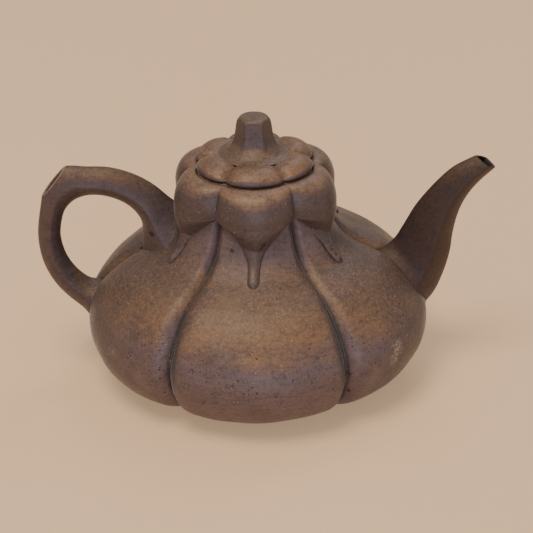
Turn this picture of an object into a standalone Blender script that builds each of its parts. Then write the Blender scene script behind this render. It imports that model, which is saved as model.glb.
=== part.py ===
"""A six-lobed yixing clay teapot in the form of a ripe melon, built as its maker luts it together.

+Z is up, the spout points along +X and the handle along -X. The origin is the middle of the foot's
resting face. Every size below is in millimetres and is turned into metres when a mesh is made.
"""

import math

import bmesh
import bpy
from mathutils import Vector

MM = 0.001
LUTE = 0.3  # gap kept between two pieces of clay that are luted together

# Lobes: six, pressed in by six grooves. The front and back lobes are a little wider than the side ones.
LOBES = 6
SECTOR = 360.0 / LOBES
FRONT_HALF = 32.3  # half of the front lobe's spread, in degrees
GROOVE_BEARINGS = (0, 90 - FRONT_HALF, 90 + FRONT_HALF, 180, 270 - FRONT_HALF, 270 + FRONT_HALF, 360)
SECTOR_STEPS = (0, 3, 8, 14, 20, 26, 30, 34, 40, 46, 52, 57)  # columns of one lobe, in degrees from a groove

# Pot body: outer outline at the middle of a lobe, foot to neck, as (radius, height)
WALL = 3.0
BODY_OUTLINE = (
    (47.2, 0.8), (52.4, 2.9), (59.3, 7.2), (63.5, 12.8), (65.9, 20.0), (65.4, 27.5), (62.4, 34.0),
    (56.8, 41.0), (50.3, 46.3), (43.5, 49.8), (37.6, 52.8), (33.0, 56.8), (30.0, 62.0), (28.0, 67.5),
    (26.2, 72.0), (23.4, 77.6),
)
BODY_ROWS = 26
INNER_ROWS = 9
CREASE_WIDTH = 8.0  # how far, in degrees, the sharp part of a groove reaches to each side
BODY_CREASE = ((0, 4.0), (12, 3.4), (35, 5.2), (50, 4.6), (66, 2.4), (80, 2.0))  # (height, depth)
BODY_SWELL = ((0, 2.4), (12, 0.9), (35, 0.9), (50, 1.2), (66, 1.4), (80, 1.2))  # wide rounding of a lobe

HANDLE_GROOVE = 0.65  # the groove under the handle is pressed less than the others

# Foot slab that closes the body
FOOT_RADIUS = 43.8
FOOT_THICK = 4.0
FLOOR_GAP = 0.5

# Mouth ring and calyx collar round the neck
MOUTH_RADIUS = 17.7
MOUTH_TOP = 83.8
NECK_TOP = BODY_OUTLINE[-1][1]
RIM_RADIUS = 23.2
RIM_CREASE = 2.4
COLLAR_CREASE = 5.0
COLLAR_OUTLINE = ((23.2, 84.0), (24.6, 84.3), (27.3, 83.6), (29.8, 81.7), (31.6, 78.6), (32.2, 75.2), (31.9, 71.8))
COLLAR_LIP = 1.3  # how far the lower edge stands out from the body
LIP_ROUND = 0.5
# Height of the lower edge, as (degrees from a groove, height): each lobe hangs down to a blunt tip
COLLAR_EDGE = ((0, 72.0), (3, 71.2), (8, 69.8), (14, 67.4), (20, 64.6), (26, 61.7), (30, 61.2))

# Tails that run down from the tips of the collar. They were laid by hand, so they sit a little unevenly.
TAIL_BEARINGS = (33.5, 91.0, 150.5, 209.5, 268.7, 326.4)
TAIL_START = 60.8
TAIL_END = 51.4
TAIL_WIDTHS = (4.6, 4.0, 3.8, 3.9, 4.1, 4.0, 2.6)
TAIL_HEIGHTS = (1.7, 1.7, 1.7, 1.7, 1.8, 1.6, 0.8)

# Lid
LID_OUTLINE = (
    (21.4, 84.1), (22.3, 84.6), (22.7, 85.5), (22.2, 86.9), (20.2, 88.5), (17.0, 89.5), (13.6, 89.6),
    (11.2, 89.0), (9.6, 88.6),
)
LID_CREASE = 2.6
LID_DROP = 2.3  # how far the creases sink below the lobes on top of the lid
LID_WALL = 2.4
FLANGE_RADIUS = 17.1
FLANGE_WALL = 2.6
FLANGE_BOTTOM = 74.5
VENT_RADIUS = 0.9
VENT_BEARING = 165.0
VENT_REACH = 12.4

# Knob: a six-sided stem, as (radius to a corner, height)
KNOB_OUTLINE = (
    (10.6, 89.2), (10.0, 90.0), (8.9, 91.3), (7.7, 93.0), (7.15, 95.2), (6.7, 98.4), (6.3, 101.0), (5.7, 102.6),
    (4.5, 103.2),
)
KNOB_STEPS = (0, 5, 15, 30, 45, 55)

# Spout: (inner x, inner z, outer x, outer z, half width, wall) from the body to the mouth
SPOUT_STATIONS = (
    (44.0, 43.0, 58.0, 15.5, 12.5, 4.5),
    (52.0, 50.6, 67.4, 26.5, 10.8, 4.0),
    (55.5, 56.2, 71.5, 35.6, 9.6, 3.6),
    (58.0, 60.8, 73.9, 45.0, 8.7, 3.0),
    (60.6, 65.5, 75.1, 54.0, 7.8, 2.6),
    (64.6, 71.0, 76.9, 62.2, 6.9, 2.1),
    (69.4, 76.4, 80.0, 69.0, 6.0, 1.6),
    (74.8, 81.2, 84.6, 75.0, 5.1, 1.3),
    (82.2, 85.3, 90.0, 80.4, 4.5, 1.1),
)
SPOUT_RIDGE = 0.18  # how far the side ridges sit towards the outer side
STRAINER_HOLE = 1.5
STRAINER_PITCH = 5.2
STRAINER_AT = (56.0, 35.0)
STRAINER_TILT = 30.0  # degrees above level that the holes point

# Handle: (outer x, outer z, inner x, inner z, half width) from the neck round to the belly
HANDLE_STATIONS = (
    (-23.5, 61.0, -40.5, 44.5, 10.0),
    (-31.6, 69.4, -42.9, 53.0, 8.2),
    (-38.0, 75.9, -43.4, 61.0, 6.7),
    (-45.4, 80.6, -47.4, 67.0, 5.9),
    (-54.3, 83.5, -53.6, 70.9, 5.5),
    (-62.9, 84.0, -60.4, 72.2, 5.4),
    (-71.6, 84.1, -67.0, 70.8, 5.3),
    (-78.6, 78.6, -71.4, 67.2, 5.2),
    (-80.9, 69.0, -73.4, 62.2, 5.1),
    (-82.9, 57.0, -74.2, 55.0, 5.1),
    (-82.3, 46.6, -72.6, 47.0, 5.2),
    (-79.3, 38.0, -69.2, 41.2, 5.4),
    (-74.2, 30.6, -64.6, 37.0, 6.0),
    (-66.4, 22.9, -58.8, 34.0, 7.0),
    (-60.4, 17.8, -54.0, 31.0, 8.0),
)
HANDLE_RIDGE = 0.1
CUT_FROM = (-71.2, 83.6)  # the slanting cut across the elbow of the handle, as (x, z)
CUT_TO = (-79.4, 73.3)
DISH_DEPTH = 0.9
DISH_WIDTH = 6.4
DISH_REACH = 0.72  # share of the cut's length that the dish takes
PITH_RADIUS = 0.7

CLAY = (0.16, 0.095, 0.062, 1.0)


def clear_scene():
    for old in list(bpy.data.objects):
        bpy.data.objects.remove(old, do_unlink=True)


def clay_material(name, roughness=0.55):
    """Fired brown stoneware, unglazed and rubbed smooth by use."""
    material = bpy.data.materials.new(name)
    material.use_nodes = True
    shader = material.node_tree.nodes["Principled BSDF"]
    shader.inputs["Base Color"].default_value = CLAY
    shader.inputs["Roughness"].default_value = roughness
    shader.inputs["Metallic"].default_value = 0.0
    return material


# ---------------------------------------------------------------- curves and lobes


def bearing(lobe_angle):
    """The real bearing of an angle counted in equal lobes, where every sixtieth degree is a groove."""
    sector, part = divmod(lobe_angle % 360.0, SECTOR)
    start, stop = GROOVE_BEARINGS[int(sector)], GROOVE_BEARINGS[int(sector) + 1]
    return math.radians(start + (stop - start) * part / SECTOR)


def columns():
    """Equal-lobe angles of the columns all the way round."""
    return [lobe * SECTOR + step for lobe in range(LOBES) for step in SECTOR_STEPS]


def from_groove(lobe_angle):
    """Degrees from the nearest groove, from 0 on a groove to 30 in the middle of a lobe."""
    off = lobe_angle % SECTOR
    return min(off, SECTOR - off)


def crease(lobe_angle, width=CREASE_WIDTH):
    """1 on a groove, falling to 0 at width degrees from it, with a sharp valley."""
    return max(0.0, 1.0 - from_groove(lobe_angle) / width) ** 2


def swell(lobe_angle):
    """1 on a groove and 0 in the middle of a lobe, so that a lobe is rounded all over."""
    return crease(lobe_angle, SECTOR / 2)


def table_value(table, x):
    """Straight-line reading of ((x, value), ...)."""
    for (x0, v0), (x1, v1) in zip(table, table[1:]):
        if x <= x1:
            return v0 + (v1 - v0) * max(0.0, x - x0) / (x1 - x0)
    return table[-1][1]


def smooth_rows(points, count):
    """count tuples evenly spaced by chord along a Catmull-Rom curve through points."""
    fine = []
    pieces = 12
    last = len(points) - 1
    for i in range(last):
        p0, p1, p2, p3 = points[max(i - 1, 0)], points[i], points[i + 1], points[min(i + 2, last)]
        for k in range(pieces):
            t = k / pieces
            fine.append(tuple(
                0.5 * (2 * b + (c - a) * t + (2 * a - 5 * b + 4 * c - d) * t * t + (3 * b - a - 3 * c + d) * t ** 3)
                for a, b, c, d in zip(p0, p1, p2, p3)
            ))
    fine.append(tuple(float(v) for v in points[-1]))
    lengths = [0.0]
    for a, b in zip(fine, fine[1:]):
        lengths.append(lengths[-1] + math.hypot(b[0] - a[0], b[1] - a[1]))
    rows = []
    k = 0
    for n in range(count):
        want = lengths[-1] * n / (count - 1)
        while k < len(fine) - 2 and lengths[k + 1] < want:
            k += 1
        t = (want - lengths[k]) / (lengths[k + 1] - lengths[k])
        rows.append(tuple(a + (b - a) * t for a, b in zip(fine[k], fine[k + 1])))
    return rows


def offset_rows(rows, distance):
    """An outline moved sideways, to the left of its own direction when distance is positive."""
    moved = []
    for i, (r, z) in enumerate(rows):
        (r0, z0), (r1, z1) = rows[max(i - 1, 0)], rows[min(i + 1, len(rows) - 1)]
        length = math.hypot(r1 - r0, z1 - z0)
        moved.append((r - (z1 - z0) / length * distance, z + (r1 - r0) / length * distance))
    return moved


def outline_radius(rows, z):
    """Radius of a rising outline at height z, above its widest point."""
    for (r0, z0), (r1, z1) in reversed(list(zip(rows, rows[1:]))):
        if z0 <= z:
            return r0 + (r1 - r0) * min(1.0, (z - z0) / (z1 - z0))
    return rows[0][0]


BODY_ROWS_OUT = smooth_rows(BODY_OUTLINE, BODY_ROWS)


def body_press(lobe_angle, z):
    """How far the body's wall is pressed in here."""
    press = table_value(BODY_CREASE, z) * crease(lobe_angle) + table_value(BODY_SWELL, z) * swell(lobe_angle)
    by_handle = abs(lobe_angle % 360.0 - 180.0) < SECTOR / 2
    return press * (HANDLE_GROOVE if by_handle else 1.0)


def body_point(lobe_angle, r, z):
    return polar(bearing(lobe_angle), r - body_press(lobe_angle, z), z)


# ---------------------------------------------------------------- meshes


def polar(angle, r, z):
    return Vector((r * math.cos(angle), r * math.sin(angle), z))


def make_object(name, bm, material=None, helper=False):
    """An object from a bmesh in millimetres, with its normals pointing out."""
    bmesh.ops.recalc_face_normals(bm, faces=bm.faces)
    bmesh.ops.scale(bm, vec=(MM, MM, MM), verts=bm.verts)
    mesh = bpy.data.meshes.new(name)
    bm.to_mesh(mesh)
    bm.free()
    if material:
        mesh.materials.append(material)
        mesh.shade_smooth()
        mesh.set_sharp_from_angle(angle=math.radians(35))
    made = bpy.data.objects.new(name, mesh)
    bpy.context.scene.collection.objects.link(made)
    if helper:
        made.hide_render = True
        made.display_type = "WIRE"
    return made


def bridge_rings(bm, rings, loop=False):
    """Skins a list of rings of equal length. With loop, the last ring joins the first."""
    pairs = list(zip(rings, rings[1:])) + ([(rings[-1], rings[0])] if loop else [])
    for low, high in pairs:
        for i in range(len(low)):
            j = (i + 1) % len(low)
            bm.faces.new((low[i], low[j], high[j], high[i]))


def cap_ring(bm, ring):
    """Closes a ring with a fan round its middle."""
    middle = bm.verts.new(sum((v.co for v in ring), Vector()) / len(ring))
    for i in range(len(ring)):
        bm.faces.new((ring[i], ring[(i + 1) % len(ring)], middle))


def skin(name, rings, material=None, closed="caps", helper=False):
    """An object skinned over rings of points. closed is caps, or loop for a ring-shaped solid."""
    bm = bmesh.new()
    made = [[bm.verts.new(p) for p in ring] for ring in rings]
    bridge_rings(bm, made, loop=closed == "loop")
    if closed == "caps":
        cap_ring(bm, made[0])
        cap_ring(bm, made[-1])
    return make_object(name, bm, material, helper)


def cut(target, cutter, operation="DIFFERENCE"):
    modifier = target.modifiers.new(cutter.name, "BOOLEAN")
    modifier.operation = operation
    modifier.solver = "EXACT"
    modifier.object = cutter
    return modifier


def cylinders(name, starts, direction, radius, length, sides=10):
    """One helper object holding a closed cylinder at each start, all along direction."""
    bm = bmesh.new()
    turn = Vector(direction).to_track_quat("Z", "Y").to_matrix().to_4x4()
    for start in starts:
        made = bmesh.ops.create_cone(
            bm, cap_ends=True, cap_tris=False, segments=sides, radius1=radius, radius2=radius, depth=length
        )["verts"]
        bmesh.ops.transform(bm, matrix=turn, verts=made)
        bmesh.ops.translate(bm, vec=Vector(start), verts=made)
    return make_object(name, bm, helper=True)


# ---------------------------------------------------------------- pot


def body_rings(rows, grow=0.0):
    return [[body_point(a, r + grow, z) for a in columns()] for r, z in rows]


def grown_body():
    """The body as one filled solid, a lute line bigger all round: it trims what is luted on."""
    rows = offset_rows(BODY_ROWS_OUT, -LUTE)
    return skin("trim_to_body", body_rings(rows), helper=True)


def strainer_holes():
    """One hole in the middle and six round it, through the wall behind the spout."""
    tilt = math.radians(STRAINER_TILT)
    along = Vector((math.cos(tilt), 0.0, math.sin(tilt)))
    up = Vector((-math.sin(tilt), 0.0, math.cos(tilt)))
    side = Vector((0.0, 1.0, 0.0))
    middle = Vector((STRAINER_AT[0], 0.0, STRAINER_AT[1]))
    places = [middle]
    for k in range(6):
        turn = math.radians(60 * k + 30)
        places.append(middle + STRAINER_PITCH * (math.cos(turn) * side + math.sin(turn) * up))
    return cylinders("strainer_holes", places, along, STRAINER_HOLE, 6 * WALL)


def make_body(material):
    """The six-lobed wall from the foot up to the neck, open at both ends."""
    outer = BODY_ROWS_OUT
    upper = [row for row in smooth_rows(BODY_OUTLINE, 3 * INNER_ROWS) if row[1] > 6.0]
    inner = offset_rows(upper, WALL)[::-3]
    inner[0] = (outer[-1][0] - WALL, outer[-1][1])
    floor_edge = FOOT_RADIUS + FLOOR_GAP
    inner += [(floor_edge + 5.0, FOOT_THICK + 1.2), (floor_edge, FOOT_THICK), (floor_edge, outer[0][1])]
    rings = body_rings(outer + inner)
    body = skin("pot_body", rings, material, closed="loop")
    cut(body, strainer_holes())
    return body


def make_foot(material):
    """The lobed floor slab, which the pot stands on."""
    edge = 0.6
    outline = ((FOOT_RADIUS - edge, 0.0), (FOOT_RADIUS, edge), (FOOT_RADIUS, FOOT_THICK - LUTE))
    return skin("foot_slab", body_rings(outline), material)


def rim_press(lobe_angle):
    return RIM_CREASE * swell(lobe_angle)


def collar_outside(lobe_angle, grow=0.0):
    """The outer side of the collar at one angle, from the rim down to its lower edge, as points."""
    angle = bearing(lobe_angle)
    points = []
    for i, (r, z) in enumerate(COLLAR_OUTLINE):
        share = min(1.0, i / 4)
        press = rim_press(lobe_angle) * (1 - share) + COLLAR_CREASE * swell(lobe_angle) * share
        points.append(polar(angle, r + grow - press, z + grow * (1 - share)))
    edge = table_value(COLLAR_EDGE, from_groove(lobe_angle))
    lip_r = outline_radius(BODY_ROWS_OUT, edge) - body_press(lobe_angle, edge) + COLLAR_LIP + grow
    top_r, top_z = points[-1].xy.length, points[-1].z
    for t, bulge in ((0.35, 0.8), (0.7, 0.35)):
        points.append(polar(angle, lip_r + (top_r - lip_r) * bulge, top_z + (edge - top_z) * t))
    points.append(polar(angle, lip_r, edge + LIP_ROUND))
    points.append(polar(angle, lip_r - LIP_ROUND, edge - grow))
    return points


def collar_inside(lobe_angle, count=6):
    """The inner side of the collar at one angle, from its lower edge up the neck to the rim."""
    angle = bearing(lobe_angle)
    edge = table_value(COLLAR_EDGE, from_groove(lobe_angle))
    points = []
    for k in range(count):
        z = edge + (NECK_TOP + LUTE - edge) * k / (count - 1)
        r = outline_radius(BODY_ROWS_OUT, z) - body_press(lobe_angle, z)
        points.append(polar(angle, r + LUTE * 1.3, z))
    rim = RIM_RADIUS - rim_press(lobe_angle) - LUTE
    points.append(polar(angle, rim, NECK_TOP + 2 * LUTE))
    points.append(polar(angle, rim, MOUTH_TOP))
    return points


def by_rows(sections):
    """Turns a list of sections, one for each column, into a list of rings."""
    return [list(row) for row in zip(*sections)]


def make_collar(material):
    """The calyx collar: six hanging lobes luted round the neck."""
    sections = [collar_outside(a) + collar_inside(a) for a in columns()]
    return skin("calyx_collar", by_rows(sections), material, closed="loop")


def grown_collar():
    """The collar as a filled solid, a lute line bigger: it trims the handle's root."""
    sections = []
    for a in columns():
        outside = collar_outside(a, LUTE)
        bottom = outside[-1]
        sections.append(outside + [polar(bearing(a), 12.0, bottom.z)])
    return skin("trim_to_collar", by_rows(sections), helper=True)


def make_mouth_ring(material):
    """The ring inside the collar that the lid sits on."""
    low = NECK_TOP + LUTE
    edge = 0.5
    outside = RIM_RADIUS - 3 * LUTE
    sections = []
    for a in columns():
        angle = bearing(a)
        wide = outside - rim_press(a)
        sections.append([
            polar(angle, MOUTH_RADIUS, low),
            polar(angle, wide, low),
            polar(angle, wide, MOUTH_TOP),
            polar(angle, MOUTH_RADIUS + edge, MOUTH_TOP),
            polar(angle, MOUTH_RADIUS, MOUTH_TOP - edge),
        ])
    return skin("mouth_ring", by_rows(sections), material, closed="loop")


def make_tail(number, material):
    """One tail: a rolled strip laid down the middle of a lobe, from the collar's tip to a blunt end."""
    angle = math.radians(TAIL_BEARINGS[number - 1])
    outward = Vector((math.cos(angle), math.sin(angle), 0.0))
    side = Vector((-math.sin(angle), math.cos(angle), 0.0))
    rings = []
    last = len(TAIL_WIDTHS) - 1
    for i, (width, height) in enumerate(zip(TAIL_WIDTHS, TAIL_HEIGHTS)):
        z = TAIL_START + (TAIL_END - TAIL_START) * i / last
        r = outline_radius(BODY_ROWS_OUT, z)
        ahead = outline_radius(BODY_ROWS_OUT, z - 1.0) - r
        normal = (outward + Vector((0, 0, ahead))).normalized()
        base = outward * r + Vector((0, 0, z)) + normal * (LUTE + 0.12)
        ring = [base + side * (width / 2)]
        for turn in (25, 60, 90, 120, 155):
            t = math.radians(turn)
            ring.append(base + side * (width / 2 * math.cos(t)) + normal * (height * math.sin(t)))
        ring.append(base - side * (width / 2))
        rings.append(ring)
    return skin(f"calyx_tail_{number}", rings, material)


# ---------------------------------------------------------------- spout and handle


def kite_ring(front, back, half_width, ridge, inset=0.0, power=1.45, sides=5):
    """A rounded kite in the plane of front, back and the Y axis. Its two side ridges sit past the middle."""
    front, back = Vector((front[0], 0, front[1])), Vector((back[0], 0, back[1]))
    middle = (front + back) / 2
    half = (back - front) / 2
    reach = max(half.length - inset, 0.2) / half.length
    width = max(half_width - inset, 0.2)
    ring = []
    for k in range(4 * sides):
        t = 2 * math.pi * k / (4 * sides)
        c, s = math.cos(t), math.sin(t)
        along = math.copysign(abs(c) ** (2 / power), c)
        across = math.copysign(abs(s) ** (2 / power), s)
        span = (1 - ridge) if along > 0 else (1 + ridge)
        ring.append(middle + half * reach * (ridge + along * span) + Vector((0, width * across, 0)))
    return ring


def make_spout(trim, material):
    """The hollow spout: an outer skin to the lip and an inner skin back to the pot."""
    stations = smooth_rows(SPOUT_STATIONS, 17)
    outer = [kite_ring(s[:2], s[2:4], s[4], SPOUT_RIDGE) for s in stations]
    inner = [kite_ring(s[:2], s[2:4], s[4], SPOUT_RIDGE, inset=s[5]) for s in stations[::-2]]
    spout = skin("spout", outer + inner, material, closed="loop")
    cut(spout, trim)
    return spout


def elbow_cutter():
    """A block whose face is the slanting cut, with a shallow dish and a pith hole standing out of it."""
    start, stop = Vector((CUT_FROM[0], 0, CUT_FROM[1])), Vector((CUT_TO[0], 0, CUT_TO[1]))
    along = (stop - start).normalized()
    out = Vector((along.z, 0, -along.x))
    if out.z < 0:
        out = -out
    middle = (start + stop) / 2
    corners = [middle + along * a + Vector((0, y, 0)) for a, y in ((-14, -12), (14, -12), (14, 12), (-14, 12))]
    block = skin("elbow_cut", [corners, [c + out * 12 for c in corners]], helper=True)
    bm = bmesh.new()
    bmesh.ops.create_uvsphere(bm, u_segments=14, v_segments=8, radius=1.0)
    bmesh.ops.scale(bm, vec=(DISH_WIDTH / 2, (stop - start).length * DISH_REACH / 2, DISH_DEPTH), verts=bm.verts)
    turn = out.to_track_quat("Z", "Y").to_matrix().to_4x4()
    bmesh.ops.transform(bm, matrix=turn, verts=bm.verts)
    bmesh.ops.translate(bm, vec=middle, verts=bm.verts)
    dish = make_object("elbow_dish", bm, helper=True)
    pith = cylinders("elbow_pith", [middle], out, PITH_RADIUS, 6.0)
    return block, dish, pith


def make_handle(trims, material):
    """The ear-shaped handle, six-sided in feel and cut across at its elbow like a pruned vine."""
    stations = smooth_rows(HANDLE_STATIONS, 34)
    rings = [kite_ring(s[:2], s[2:4], s[4], HANDLE_RIDGE, power=1.6, sides=3) for s in stations]
    handle = skin("handle", rings, material)
    for cutter in (*trims, *elbow_cutter()):
        cut(handle, cutter)
    return handle


# ---------------------------------------------------------------- lid


def lid_point(lobe_angle, r, z):
    """A point of the lid's upper skin, drawn in and sunk along the creases."""
    share = min(1.0, max(0.0, (r - 9.0) / 6.0))
    sink = LID_DROP * share * min(1.0, (z - LID_OUTLINE[0][1]) / 3.5)
    pull = LID_CREASE * r / LID_OUTLINE[2][0]
    press = 0.45 * crease(lobe_angle, 12.0) + 0.55 * swell(lobe_angle)
    return polar(bearing(lobe_angle), r - pull * press, z - sink * press)


def make_lid(material):
    """The lobed lid plate, hollow underneath inside its flange."""
    upper = [[lid_point(a, r, z) for a in columns()] for r, z in LID_OUTLINE]
    upper.append([polar(bearing(a), 4.0, LID_OUTLINE[-1][1]) for a in columns()])
    base = LID_OUTLINE[0][1]
    hollow = FLANGE_RADIUS - FLANGE_WALL - 0.4
    under_top = LID_OUTLINE[-1][1] - LID_WALL
    lower = [
        [polar(bearing(a), r, z) for a in columns()]
        for r, z in ((4.0, under_top), (hollow - 2.5, under_top - 0.2), (hollow, base))
    ]
    lid = skin("lid_plate", lower + upper, material)
    turn = math.radians(VENT_BEARING)
    cut(lid, cylinders("vent_hole", [polar(turn, VENT_REACH, base + 2)], (0, 0, 1), VENT_RADIUS, 12.0))
    return lid


def make_flange(material):
    """The ring under the lid that keeps it in the mouth."""
    top = LID_OUTLINE[0][1] - LUTE
    inside = FLANGE_RADIUS - FLANGE_WALL
    edge = 0.6
    outline = (
        (inside, FLANGE_BOTTOM), (FLANGE_RADIUS - edge, FLANGE_BOTTOM), (FLANGE_RADIUS, FLANGE_BOTTOM + edge),
        (FLANGE_RADIUS, top), (inside, top),
    )
    around = [math.radians(10 * k) for k in range(36)]
    return skin("lid_flange", [[polar(a, r, z) for a in around] for r, z in outline], material, closed="loop")


def make_knob(material):
    """The stem knob: six flat facets that flare at the foot, and a softly rounded top."""
    around = [k * SECTOR + step for k in range(LOBES) for step in KNOB_STEPS]
    rings = []
    for r, z in KNOB_OUTLINE:
        ring = []
        for a in around:
            off = math.radians(from_groove(a))
            flat = r * math.cos(math.radians(30)) / math.cos(math.radians(30) - off)
            ring.append(polar(math.radians(a), min(flat, 0.97 * r), z))
        rings.append(ring)
    return skin("lid_knob", rings, material)


def main():
    clear_scene()
    clay = clay_material("purple_brown_clay")
    worn = clay_material("hand_worn_clay", roughness=0.45)
    raw = clay_material("unrubbed_clay", roughness=0.8)
    trim_body = grown_body()
    trim_collar = grown_collar()
    make_body(clay)
    make_foot(raw)
    make_collar(clay)
    make_mouth_ring(raw)
    for number in range(1, LOBES + 1):
        make_tail(number, clay)
    make_spout(trim_body, clay)
    make_handle((trim_body, trim_collar), worn)
    make_lid(clay)
    make_flange(raw)
    make_knob(worn)


main()
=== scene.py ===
import math

import bmesh
import bpy
import numpy as np
from mathutils import Matrix, Vector, noise


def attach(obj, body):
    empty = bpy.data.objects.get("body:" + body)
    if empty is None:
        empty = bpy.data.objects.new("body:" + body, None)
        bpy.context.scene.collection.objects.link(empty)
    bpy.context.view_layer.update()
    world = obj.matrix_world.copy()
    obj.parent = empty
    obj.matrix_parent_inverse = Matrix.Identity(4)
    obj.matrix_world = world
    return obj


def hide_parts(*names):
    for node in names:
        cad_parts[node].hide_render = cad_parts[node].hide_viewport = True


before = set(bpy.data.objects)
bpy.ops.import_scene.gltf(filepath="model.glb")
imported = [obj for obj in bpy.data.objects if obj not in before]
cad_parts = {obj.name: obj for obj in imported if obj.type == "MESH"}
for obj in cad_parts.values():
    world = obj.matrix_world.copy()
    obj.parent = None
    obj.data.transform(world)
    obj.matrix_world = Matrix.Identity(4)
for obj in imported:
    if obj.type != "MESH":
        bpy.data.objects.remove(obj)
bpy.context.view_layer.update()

# A six-lobed melon teapot in unglazed stoneware. Lengths are in millimetres until a mesh is made.
HAND_SEED = 1
noise.seed_set(HAND_SEED)  # or the unevenness would change with the clock
MM = 0.001
PER_METRE = 1000.0
POT, LID = "pot", "lid"
BURNISHED, WORN, RAW = "purple_brown_clay", "hand_worn_clay", "unrubbed_clay"

# ---- the pot's measures

LOBES = 6
SECTOR = 60.0
FRONT_HALF = 32.3
GROOVE_BEARINGS = (0, 90 - FRONT_HALF, 90 + FRONT_HALF, 180, 270 - FRONT_HALF, 270 + FRONT_HALF, 360)
FINE_STEPS = 30  # columns from a groove to the middle of a lobe
CREASE_WIDTH = 8.0
HANDLE_GROOVE = 0.65

WALL = 3.0
BODY_OUTLINE = (  # radius, height
    (47.2, 0.8), (52.4, 2.9), (59.3, 7.2), (63.5, 12.8), (65.9, 20.0), (65.4, 27.5), (62.4, 34.0),
    (56.8, 41.0), (50.3, 46.3), (43.5, 49.8), (37.6, 52.8), (33.0, 56.8), (30.0, 62.0), (28.0, 67.5),
    (26.2, 72.0), (23.4, 77.6),
)
BODY_CREASE = (  # height, how far the groove cuts in
    (0, 4.0), (12, 4.1), (35, 5.2), (50, 4.6), (66, 2.4), (80, 2.0),
)
BODY_SWELL = (  # height, how far the lobe rounds away
    (0, 2.4), (12, 2.1), (22, 1.5), (35, 0.9), (50, 1.2), (66, 1.4), (80, 1.2),
)
FOOT_RADIUS = 43.8
FOOT_THICK = 4.0

MOUTH_RADIUS = 17.7
MOUTH_TOP = 83.8
NECK_TOP = 77.6
RIM_RADIUS = 23.2
RIM_CREASE = 2.4
COLLAR_SWELL = 5.0
COLLAR_OUTLINE = (
    (23.2, 84.0), (24.6, 84.3), (27.3, 83.6), (29.8, 81.7), (31.6, 78.6), (32.2, 75.2), (31.9, 71.8),
)
COLLAR_LIP = 1.3
TAIL_LIP = 0.7
LOBE_BELLY = 0.9
COLLAR_FOLD = 0.3
COLLAR_EDGE = (  # degrees from a groove, height of the hanging edge
    (0, 72.0), (3, 71.2), (8, 69.8), (14, 67.4), (20, 64.6), (25, 62.3), (28, 61.2), (30, 60.6),
)
BELLY_BELOW = 78.5

TAIL_BEARINGS = (33.5, 91.0, 150.5, 209.5, 268.7, 326.4)
FRONT_TAIL = 5
TAIL_TOP = 64.6
TAIL_FOOT = 51.4
TAIL_ROUND_FROM = 0.87  # of its length
TAIL_THICKNESS = (  # share of the length, half width
    (0.0, 6.4), (0.12, 5.8), (0.2, 4.9), (0.27, 4.0), (0.34, 3.3), (0.45, 2.65), (0.6, 2.3), (0.85, 2.25),
    (1.0, 2.2),
)
TAIL_PROUD = (  # share of the length, height over the shoulder
    (0.0, 0.7), (0.14, 1.75), (0.27, 2.05), (0.42, 1.8), (0.6, 1.65), (0.85, 1.75), (1.0, 1.1),
)
TAIL_HEIGHT = 0.75  # of its half width

LID_BASE = 84.1
LID_RADIUS = 22.7
LID_MIDDLE = 88.6
LID_TOP = (
    (21.4, 84.1), (22.3, 84.6), (22.7, 85.5), (22.3, 86.9), (20.6, 88.4), (18.2, 89.45), (15.9, 89.6), (14.0, 89.1),
    (12.6, 88.85), (11.0, 88.8), (9.0, 88.7),
)
LID_CREASE = 2.6
LID_DROP = 2.3
FLANGE_RADIUS = 17.1
FLANGE_WALL = 2.6
FLANGE_BOTTOM = 74.5
VENT = (165.0, 12.4, 0.9)  # bearing, distance from the middle, radius

KNOB_OUTLINE = (
    (14.2, 88.75), (12.8, 89.2), (11.4, 89.75), (10.1, 90.6), (9.0, 91.8), (8.1, 93.3), (7.45, 95.2), (6.95, 98.4),
    (6.6, 100.6), (6.2, 102.0), (5.5, 102.8), (4.4, 103.12), (2.2, 103.2), (0.3, 103.2),
)
KNOB_ROUND_BELOW = 90.5
KNOB_FACETS_ABOVE = 94.0
KNOB_CROWN = 101.4

SPOUT_STATIONS = (  # lower edge x and z, upper edge x and z, half width, wall
    (44.0, 43.0, 58.0, 15.5, 12.5, 4.5),
    (52.0, 50.6, 67.4, 26.5, 10.8, 4.0),
    (55.5, 56.2, 71.5, 35.6, 9.6, 3.6),
    (58.0, 60.8, 73.9, 45.0, 8.7, 3.0),
    (60.6, 65.5, 75.1, 54.0, 7.8, 2.6),
    (64.6, 71.0, 76.9, 62.2, 6.9, 2.1),
    (69.4, 76.4, 80.0, 69.0, 6.0, 1.6),
    (74.8, 81.2, 84.6, 75.0, 5.1, 1.3),
    (82.2, 85.3, 90.0, 80.4, 4.5, 1.1),
)
SPOUT_RIDGE = 0.18

HANDLE_STATIONS = (  # outer edge x and z, inner edge x and z, half width
    (-23.5, 61.0, -40.5, 44.5, 10.0),
    (-31.6, 69.4, -42.9, 53.0, 8.2),
    (-38.0, 75.9, -43.4, 61.0, 6.7),
    (-45.4, 80.6, -47.4, 67.0, 5.9),
    (-54.3, 83.5, -53.6, 70.9, 5.5),
    (-62.9, 84.0, -60.4, 72.2, 5.4),
    (-71.6, 84.1, -67.0, 70.8, 5.3),
    (-78.6, 78.6, -71.4, 67.2, 5.2),
    (-80.9, 69.0, -73.4, 62.2, 5.1),
    (-82.9, 57.0, -74.2, 55.0, 5.1),
    (-82.3, 46.6, -72.6, 47.0, 5.2),
    (-79.3, 38.0, -69.2, 41.2, 5.4),
    (-74.2, 30.6, -64.6, 37.0, 6.0),
    (-66.4, 22.9, -58.8, 34.0, 7.0),
    (-60.4, 17.8, -54.0, 31.0, 8.0),
)
HANDLE_RIDGE = 0.1
CUT_FROM = (-71.2, 0.0, 83.6)
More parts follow.
